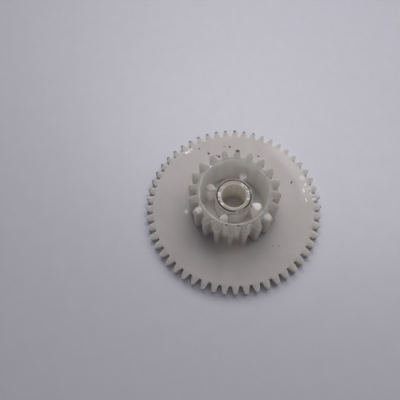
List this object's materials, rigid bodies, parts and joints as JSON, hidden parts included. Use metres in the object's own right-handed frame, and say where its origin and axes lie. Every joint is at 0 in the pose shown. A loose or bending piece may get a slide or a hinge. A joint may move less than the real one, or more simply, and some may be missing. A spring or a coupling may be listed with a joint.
{
  "type": "cluster gear",
  "caption": "Flat moulded cluster spur gear, a wide thin wheel carrying a hollow cup-shaped pinion, turning on a plain sleeve with a round spindle bore.",
  "frame": {"origin": "on the spindle's axis, in the plane of the wheel's flat underside", "axes": "+Z along the spindle from the wheel up to the pinion; +Y away from the pictured front, with +X to its right"},
  "size_m": [0.044, 0.044, 0.0114],
  "materials": {
    "natural_acetal": "milky, slightly see-through natural moulding with a soft semi-gloss face",
    "sleeve_polymer": "turned bearing polymer, satin with bright edges"
  },
  "bodies": {
    "sleeve": {"sleeve_bush": "sleeve_polymer"},
    "gear": {"compound_gear": "natural_acetal"}
  },
  "joints": [
    {"name": "gear_spin", "type": "hinge", "parent": "sleeve", "child": "gear", "pos_m": [0, 0, 0], "axis": [0, 0, 1], "continuous": true}
  ]
}
